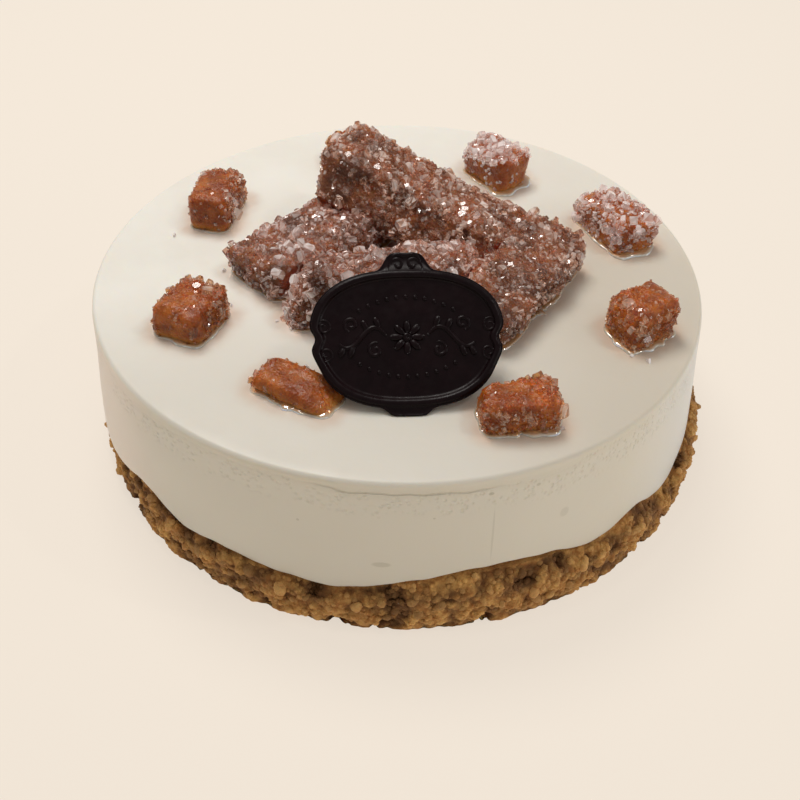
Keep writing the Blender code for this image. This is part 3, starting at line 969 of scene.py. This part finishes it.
def makeLooseSugar(cream, finish):
    plan = looseSugar
    over = cream.data.copy()
    points = pointsOf(over)
    stain = np.empty(len(points), dtype=np.float32)
    over.attributes["stain"].data.foreach_get("value", stain)
    setFloats(over, "loose", np.where(points[:, 2] > creamTop - plan["within"], plan["share"] * stain, 0.0))
    setFloats(over, "open", np.ones(len(points)))
    setFloats(over, "pale", np.full(len(points), plan["pale"]))
    forms = formsCollection("looseCrystals", crystals("looseCrystal", 60, plan))
    return strewn("sugar_loose", over, "loose", math.pi, plan, forms, finish)


ride(makeLooseSugar(creamPiece, sugarLooks["coarse"]), "jelly")


# Crumb base
crumbPlan = {
    "radius": 82.8 * mm,
    "offset": (1.0 * mm, -2.2 * mm),
    "around": 1100,
    "rows": 52,
    "shoulderIn": 1.2 * mm,
    "sag": 2.2 * mm,
    "sagAt": math.radians(-70),
    "sagHalf": math.radians(20),
    "clump": 6.0 * mm,
    "clumpHeight": 1.9 * mm,
    "crumb": 2.2 * mm,
    "crumbHeight": 1.2 * mm,
    "pit": 8.0 * mm,
    "pitDepth": 2.6 * mm,
    "gap": 0.2 * mm,
}


# Sets the crumb wall in and out: large clumps, single crumbs on them, and pits where some fell away
def crumbTree():
    tree = Tree("crumbRelief", {
        "Clump": "Float", "Clump Height": "Float", "Crumb": "Float", "Crumb Height": "Float",
        "Pit": "Float", "Pit Depth": "Float", "Material": "Material",
    })
    place = tree.add("GeometryNodeInputPosition").outputs[0]

    def often(label):
        return tree.sum("DIVIDE", 1.0, tree.given(label))

    def bulges(label):
        rise = tree.sum("SUBTRACT", 0.45, tree.cellsAt(place, often(label)))
        return tree.times(rise, tree.given(label + " Height"))

    deep = tree.add(
        "ShaderNodeMapRange", {"interpolation_type": "SMOOTHSTEP"},
        Value=tree.noiseAt(place, often("Pit"), 3.0), From_Min=0.56, From_Max=0.70,
    ).outputs["Result"]
    height = tree.sum("ADD", bulges("Clump"), bulges("Crumb"))
    height = tree.sum("SUBTRACT", height, tree.times(deep, tree.given("Pit Depth")))
    height = tree.times(height, tree.named("loose"))
    told = tree.add(
        "GeometryNodeStoreNamedAttribute", {"data_type": "FLOAT"},
        Geometry=tree.given("Geometry"), Name="relief",
        Value=tree.sum("DIVIDE", height, tree.given("Clump Height")),
    ).outputs[0]
    tree.finish(tree.pushed(told, height))
    return tree


def crumbSag(angles):
    away = (angles - crumbPlan["sagAt"] + math.pi) % (2 * math.pi) - math.pi
    return crumbPlan["sag"] * (1.0 - ease(np.abs(away) / crumbPlan["sagHalf"]))


def crumbMesh():
    plan = crumbPlan
    angles = evenAngles(plan["around"])
    edge = lowerEdge(angles) - crumbSag(angles) - 0.1 * mm
    wall = wallRadius(angles, edge)
    rings = [
        creamRing(angles, share * wall, underHeight(edge, share) - plan["gap"]) for share in (0.4, 0.8, 0.93)
    ]
    rings.append(creamRing(angles, wall - 3.0 * mm, edge))
    loose = [0.0] * (1 + 4 * plan["around"])
    for row in range(plan["rows"] + 1):
        share = row / plan["rows"]
        out = ease((share + 0.05) / 0.28)
        radius = (wall - plan["shoulderIn"]) * (1.0 - out) + plan["radius"] * out
        middle = ease(share / 0.3) * np.array(plan["offset"])
        rings.append(ringAt(middle, angles, radius, edge * (1.0 - share)))
        loose += [min(1.0, 0.25 + share / 0.1) if row < plan["rows"] else 0.6] * plan["around"]
    rings.append(rings[-1] * np.array((0.96, 0.96, 0.0)))
    loose += [0.0] * (plan["around"] + 1)
    top = (*creamPlan["middle"], creamPlan["underTop"] - plan["gap"])
    mesh = turnedSkin("crumb_base_core", rings, top, (0, 0, 0))
    setFloats(mesh, "loose", loose)
    return mesh


def crumbFinish(name, dark):
    def shade(*colour):
        return [dark * part for part in colour]

    look = Finish(
        name, Roughness=0.78, IOR=1.45,
        Subsurface_Weight=0.15, Subsurface_Radius=(1.0, 0.5, 0.25), Subsurface_Scale=0.8 * mm,
    )
    speckle = look.spread(look.noise(520, 4.0, 0.65), 0.3, 0.72)
    tan = look.mix(speckle, shade(0.44, 0.175, 0.034), shade(0.84, 0.47, 0.14))
    tan = look.mix(look.spread(look.noise(75), 0.45, 0.7, 0.0, 0.45), tan, shade(0.40, 0.14, 0.032))
    tan = look.mix(look.spread(look.attribute("tone"), 0.0, 1.0, 0.0, 0.40), tan, shade(0.88, 0.54, 0.20))
    # Painted shade: the hollows of the crumb relief are darkened
    deep = look.spread(look.attribute("relief"), -0.55, 0.20, 0.85, 0.0)
    tan = look.mix(deep, tan, shade(0.11, 0.038, 0.008))
    normal = look.bump(look.noise(1900, 4.0, 0.65), 0.22 * mm)
    normal = look.bump(look.cells(1100), 0.25 * mm, normal)
    return look.use(Base_Color=tan, Normal=normal)


def makeCrumbBase():
    host = addObject("crumbHost", crumbMesh())
    plan = crumbPlan
    crumbTree().fit(host, {
        "Clump": plan["clump"], "Clump Height": plan["clumpHeight"], "Crumb": plan["crumb"],
        "Crumb Height": plan["crumbHeight"], "Pit": plan["pit"], "Pit Depth": plan["pitDepth"],
        "Material": crumbFinish("pressedCrumbs", 0.85),
    })
    mesh = settled(host, "crumbs_pressed")
    setPoints(mesh, pointsOf(mesh))
    mesh.shade_smooth()
    return addObject("crumbs_pressed", mesh)


# An uneven grain about a unit across
def grainMesh(name, seed, steps):
    random = np.random.default_rng(seed)
    shape = bmesh.new()
    bmesh.ops.create_icosphere(shape, subdivisions=steps, radius=0.5)
    waves = random.normal(size=(4, 3)) * 3.0
    turns = random.random(4) * 6.3
    stretch = 0.8 + 0.5 * random.random(3)
    for vert in shape.verts:
        bulge = sum(math.sin(Vector(wave).dot(vert.co) + turn) for wave, turn in zip(waves, turns))
        vert.co *= 1.0 + 0.14 * bulge
        vert.co = Vector([value * size for value, size in zip(vert.co, stretch)])
    mesh = meshOf(name, shape)
    mesh.shade_smooth()
    return mesh


grainPlan = {
    "wall": 78 * mm,
    "tilt": 3.1,
    # where the room for grains starts and how fast it opens, under the cream and over the board
    "underCream": (0.6 * mm, 0.6 * mm),
    "overFoot": (1.0 * mm, 0.5 * mm),
    "large": {
        "spacing": 2.2 * mm, "low": 1.3 * mm, "high": 2.9 * mm, "sink": 0.35 * mm,
        "seed": 5, "forms": 6, "steps": 2, "share": 0.7,
    },
    "small": {
        "spacing": 1.1 * mm, "low": 0.9 * mm, "high": 1.7 * mm, "sink": 0.2 * mm,
        "seed": 9, "forms": 4, "steps": 1, "share": 0.9,
    },
}


def makeGrains(kind, base):
    plan = grainPlan[kind]
    grains = [grainMesh(kind + "Grain", 40 * plan["seed"] + n, plan["steps"]) for n in range(plan["forms"])]
    forms = formsCollection(kind + "Grains", grains)
    over = base.data.copy()
    points = pointsOf(over)
    angles = np.arctan2(points[:, 1], points[:, 0])
    edge = lowerEdge(angles) - crumbSag(angles)
    room = past(edge - points[:, 2], *grainPlan["underCream"]) * past(points[:, 2], *grainPlan["overFoot"])
    onWall = np.hypot(points[:, 0], points[:, 1]) > grainPlan["wall"]
    setFloats(over, "strewn", np.where(onWall, room, 0.0) * plan["share"])
    finish = crumbFinish(kind + "Crumbs", 0.95)
    crumbs = strewn("crumbs_" + kind, over, "strewn", grainPlan["tilt"], plan, forms, finish)
    setPoints(crumbs.data, pointsOf(crumbs.data))
    return crumbs


crumbBase = makeCrumbBase()
ride(crumbBase, "crumb", "crumb_base")
for kind in ("large", "small"):
    ride(makeGrains(kind, crumbBase), "crumb")
print("crumbs pressed")


# Chocolate plaque
plaquePlan = {
    "foot": (2.4 * mm, -58.3 * mm, 44.8 * mm),
    "tilt": math.radians(38),
    "turn": math.radians(3),
    "halfWidth": 22.8 * mm,
    "halfHeight": 16.5 * mm,
    "middle": 18.2 * mm,
    "fullness": 2.5,
    "thick": 2.5 * mm,
    "rimWidth": 1.7 * mm,
    "recess": 0.7 * mm,
    "around": 420,
    "softenSteps": 6,
    "tabHalf": 5.0 * mm,
    "tabShoulder": 2.0 * mm,
    "topTab": 4.0 * mm,
    "footTab": 1.9 * mm,
    "nickDepth": 1.5 * mm,
    "nickHalf": 1.9 * mm,
    "lowerNarrowing": 1.5 * mm,
    "lowerSpan": 8.0 * mm,
    "tabInset": 0.32 * mm,
}


def plaqueEdge(angles, inset):
    plan = plaquePlan
    power = 2.0 / plan["fullness"]
    cos = np.cos(angles)
    sin = np.sin(angles)
    x = (plan["halfWidth"] - inset) * np.sign(cos) * np.abs(cos) ** power
    y = (plan["halfHeight"] - inset) * np.sign(sin) * np.abs(sin) ** power
    x = x - np.sign(x) * plan["nickDepth"] * np.exp(-((y / plan["nickHalf"]) ** 2))
    x = x * (1.0 - plan["lowerNarrowing"] / plan["halfWidth"] * ease(-y / plan["lowerSpan"]))
    tab = np.where(y > 0.0, plan["topTab"], plan["footTab"]) if inset < plan["tabInset"] else 0.0
    y = y + np.sign(y) * tab * ease((plan["tabHalf"] - inset - np.abs(x)) / plan["tabShoulder"] + 0.5)
    for _ in range(plan["softenSteps"]):
        x = 0.5 * x + 0.25 * (np.roll(x, 1) + np.roll(x, -1))
        y = 0.5 * y + 0.25 * (np.roll(y, 1) + np.roll(y, -1))
    return x, y + plan["middle"]


# Leans points drawn flat back on the cream
def standPlaque(points):
    plan = plaquePlan
    turn = np.array(Matrix.Rotation(plan["turn"], 3, "Z") @ Matrix.Rotation(plan["tilt"], 3, "X"))
    stood = np.asarray(points) @ turn.T + np.array(plan["foot"])
    stood[:, 2] = np.maximum(stood[:, 2], creamPlan["top"] - 0.2 * mm)
    return stood


def plaqueMesh():
    plan = plaquePlan
    turn = evenAngles(plan["around"])
    angles = turn - 0.18 * np.sin(2 * turn) - 0.06 * np.sin(4 * turn)
    width = plan["rimWidth"]
    # inset from the edge and height over the rim's crown: recess, rounded bead, outer lip, side, back
    insets = (12.0 * mm, 6.0 * mm, width + 1.2 * mm, width + 0.25 * mm)
    profile = [(inset, -plan["recess"]) for inset in insets]
    for step in range(9):
        swing = math.pi * step / 8
        inset = 0.5 * width + 0.35 * mm + 0.5 * width * math.cos(swing)
        profile.append((inset, -0.55 * mm + 0.55 * mm * math.sin(swing)))
    profile += [(0.30 * mm, -0.62 * mm), (0.12 * mm, -0.50 * mm), (0.0, -0.62 * mm), (0.0, -0.9 * mm)]
    profile += [(0.05 * mm, -0.8 * plan["thick"]), (0.35 * mm, -plan["thick"])]
    rings = []
    for inset, height in profile:
        x, y = plaqueEdge(angles, inset)
        rings.append(standPlaque(np.column_stack((x, y, np.full(len(x), height)))))
    ends = [(0.0, plan["middle"], -plan["recess"]), (0.0, plan["middle"], -plan["thick"])]
    return turnedSkin("plaque", rings, *standPlaque(ends))


# A curl in millimetres on the face: its middle, first and last size, and start and swing in turns
def scrollPath(middle, first, last, start, swing, mirror=1.0, steps=28):
    path = []
    for step in range(steps + 1):
        share = step / steps
        angle = 2 * math.pi * (start + swing * share)
        size = first + (last - first) * share
        path.append((mirror * (middle[0] + size * math.cos(angle)), middle[1] + size * math.sin(angle)))
    return path


flowerHeight = 18.4


def vineHeight(x):
    return flowerHeight + 2.4 * math.sin(0.5 * (x - 4.4))


def reliefMesh():
    # each path with its stroke's half width in millimetres
    paths = []
    for side in (1.0, -1.0):
        paths.append((scrollPath((19.3, 21.0), 1.9, 0.5, 0.1, 1.25, side), 0.34))
        paths.append((scrollPath((18.9, 14.6), 1.9, 0.5, 0.9, -1.25, side), 0.34))
        paths.append((scrollPath((1.8, 36.0), 1.5, 0.5, 0.95, 1.1, side), 0.5))
        paths.append(([(side * x, vineHeight(x)) for x in np.linspace(4.8, 15.8, 40)], 0.62))
        paths.append((scrollPath((7.4, 15.4), 1.9, 0.5, 0.30, -1.1, side), 0.5))
        paths.append((scrollPath((12.9, 21.6), 1.8, 0.5, 0.80, 1.1, side), 0.5))
        for x, tip in ((6.4, 2.6), (9.2, 2.3), (12.4, -2.6), (14.6, -2.0)):
            rise = vineHeight(x)
            leaf = [(side * (x + 1.3 * t), rise + tip * math.sin(1.5 * t)) for t in np.linspace(0.0, 1.0, 7)]
            paths.append((leaf, 0.8))
    paths.append(([(x, 38.1 - 0.02 * x ** 4 + 0.12 * x * x) for x in np.linspace(-4.2, 4.2, 24)], 0.6))
    for petal in range(8):
        angle = 2 * math.pi * petal / 8
        across = np.linspace(1.1, 4.0, 7)
        ray = [(r * math.cos(angle), flowerHeight + r * math.sin(angle)) for r in across]
        paths.append((ray, 0.95))
    paths.append((scrollPath((0.0, flowerHeight), 0.55, 0.55, 0.0, 1.0, steps=12), 0.65))
    for bead in range(-5, 6):
        for middle, lift in ((28.0, -0.026), (9.0, 0.026)):
            x = 2.2 * bead
            paths.append((scrollPath((x, middle + lift * x * x), 0.16, 0.16, 0.0, 1.0, steps=8), 0.5))
    shape = bmesh.new()
    for path, thick in paths:
        addStroke(shape, path, thick)
    mesh = meshOf("plaque_scrolls", shape)
    mesh.shade_smooth()
    return mesh


# A half-round raised stroke on the plaque's face, tapering at both ends
def addStroke(shape, path, thick):
    rows = []
    sides = 7
    for index, (x, y) in enumerate(path):
        before = path[max(index - 1, 0)]
        after = path[min(index + 1, len(path) - 1)]
        along = Vector((after[0] - before[0], after[1] - before[1])).normalized()
        share = index / (len(path) - 1)
        wide = thick * (0.45 + 0.55 * math.sin(math.pi * share) ** 0.5)
        row = []
        for side in range(sides):
            swing = math.pi * side / (sides - 1)
            across = math.cos(swing) * wide
            lift = math.sin(swing) * wide * 0.8 - 0.05
            spot = ((x - along.y * across) * mm, (y + along.x * across) * mm)
            row.append((*spot, lift * mm - plaquePlan["recess"]))
        rows.append([shape.verts.new(point) for point in standPlaque(row)])
    for first, second in zip(rows, rows[1:]):
        for side in range(sides - 1):
            shape.faces.new((first[side], first[side + 1], second[side + 1], second[side]))
        shape.faces.new((first[-1], first[0], second[0], second[-1]))
    shape.faces.new(rows[0])
    shape.faces.new(list(reversed(rows[-1])))


def chocolateFinish():
    look = Finish("darkChocolate", Roughness=0.34, IOR=1.46, Coat_Weight=0.0, Specular_IOR_Level=0.17)
    cloud = look.spread(look.noise(220, 4.0, 0.6), 0.35, 0.7)
    brown = look.mix(cloud, (0.0045, 0.0006, 0.0012), (0.0075, 0.0018, 0.0026))
    rough = look.spread(look.noise(500), 0.3, 0.7, 0.24, 0.38)
    normal = look.bump(look.noise(420, 3.0, 0.5), 0.10 * mm)
    return look.use(Base_Color=brown, Roughness=rough, Normal=normal)


chocolateLook = chocolateFinish()
ride(addObject("plaque", plaqueMesh(), chocolateLook), "chocolate", "chocolate_plaque")
ride(addObject("plaque_scrolls", reliefMesh(), chocolateLook), "chocolate")
print("plaque stood")


# Syrup at the jellies' feet: its direction in degrees, and how many millimetres wide there and elsewhere
syrupPlan = {
    "jelly_bar_right": (-45, 1.5, 0.25),
    "jelly_bar_left": (-100, 0.5, 0.2),
    "jelly_bar_front": (-120, 0.5, 0.2),
    "jelly_piece_1": (-80, 0.5, 0.3),
    "jelly_piece_2": (-70, 1.3, 0.3),
    "jelly_piece_3": (-110, 1.5, 0.5),
    "jelly_piece_4": (-30, 2.0, 0.6),
    "jelly_piece_5": (-60, 2.0, 0.9),
    "jelly_piece_6": (-55, 2.0, 0.5),
    "jelly_piece_7": (-50, 2.4, 0.8),
    "jelly_piece_8": (90, 1.0, 0.4),
}
syrupShape = {"around": 180, "height": 0.9 * mm, "rings": 9}


# Outline of a jelly's foot as a distance from its middle, at even angles
def footOutline(jelly, count):
    feet = pointsOf(jelly.data)
    feet = feet[feet[:, 2] < creamPlan["top"] + 2.6 * mm][:, :2]
    middle = 0.5 * (feet.min(0) + feet.max(0))
    spokes = feet - middle
    angles = evenAngles(count)
    turns = np.arctan2(spokes[:, 1], spokes[:, 0])
    reach = np.hypot(spokes[:, 0], spokes[:, 1])
    half = 1.2 * math.pi / count
    outline = np.zeros(count)
    for index, angle in enumerate(angles):
        away = np.abs((turns - angle + math.pi) % (2 * math.pi) - math.pi)
        outline[index] = reach[away < half * 1.5].max(initial=0.0)
    outline = np.where(outline > 0.0, outline, np.median(outline))
    kernel = np.array((1, 2, 3, 2, 1)) / 9.0
    wrapped = np.concatenate((outline[-2:], outline, outline[:2]))
    return middle, angles, np.convolve(wrapped, kernel, mode="valid")


def syrupMesh(node, seed):
    direction, wide, least = syrupPlan[node]
    middle, angles, outline = footOutline(jellies[node], syrupShape["around"])
    swing = 0.5 + 0.5 * np.cos(angles - math.radians(direction))
    uneven = 0.75 + 0.25 * np.sin(5 * angles + seed) + 0.2 * np.sin(11 * angles + 2.3 * seed)
    width = (least + (wide - least) * swing ** 2.2) * np.clip(uneven, 0.25, 1.4) * mm
    inner = outline - 1.2 * mm
    rings = []
    level = creamPlan["top"] - 0.05 * mm
    for step in range(syrupShape["rings"] + 1):
        share = step / syrupShape["rings"]
        radius = inner + (outline + width - inner) * math.sin(0.5 * math.pi * share)
        rise = syrupShape["height"] * (0.35 + 0.65 * np.clip(width / (1.5 * mm), 0.0, 1.0))
        height = level + rise * math.cos(0.5 * math.pi * share) ** 0.8
        rings.append(ringAt(middle, angles, radius, height))
    mesh = turnedSkin("syrup", rings, (*middle, level + 0.3 * mm), (*middle, level - 0.1 * mm))
    rows = syrupShape["rings"] + 1
    rims = np.repeat(np.arange(rows) / (rows - 1), syrupShape["around"])
    setFloats(mesh, "rim", np.concatenate(([0.0], rims, [1.0])))
    wides = np.tile(ease((width - 0.5 * mm) / (0.7 * mm)), rows)
    setFloats(mesh, "wide", np.concatenate(([0.0], wides, [0.0])))
    return mesh


def syrupFinish():
    look = Finish(
        "syrup", Roughness=0.05, IOR=1.9, Coat_Weight=1.0, Coat_Roughness=0.03, Coat_IOR=1.9,
        Subsurface_Weight=0.6, Subsurface_Radius=(1.0, 0.7, 0.4), Subsurface_Scale=2.0 * mm,
    )
    rim = look.attribute("rim")
    amber = look.mix(look.spread(rim, 0.35, 1.0), (0.50, 0.27, 0.12), (0.74, 0.66, 0.54))
    # Painted highlight: a broken near-white line along the lip of the wider syrup
    lip = look.times(look.spread(rim, 0.66, 0.78), look.spread(rim, 0.86, 0.95, 1.0, 0.0))
    broken = look.spread(look.noise(260, 2.0), 0.46, 0.58)
    amber = look.mix(look.times(lip, broken, look.attribute("wide")), amber, (1.0, 0.99, 0.95))
    normal = look.bump(look.noise(350, 2.0), 0.12 * mm)
    return look.use(Base_Color=amber, Normal=normal)


def makeSyrup():
    mesh = joinedMesh("syrup", [syrupMesh(node, seed) for seed, node in enumerate(syrupPlan)])
    mesh.shade_smooth()
    syrup = addObject("syrup", mesh, syrupFinish())
    syrup.visible_shadow = False
    return syrup


ride(makeSyrup(), "jelly")
print("syrup run out")
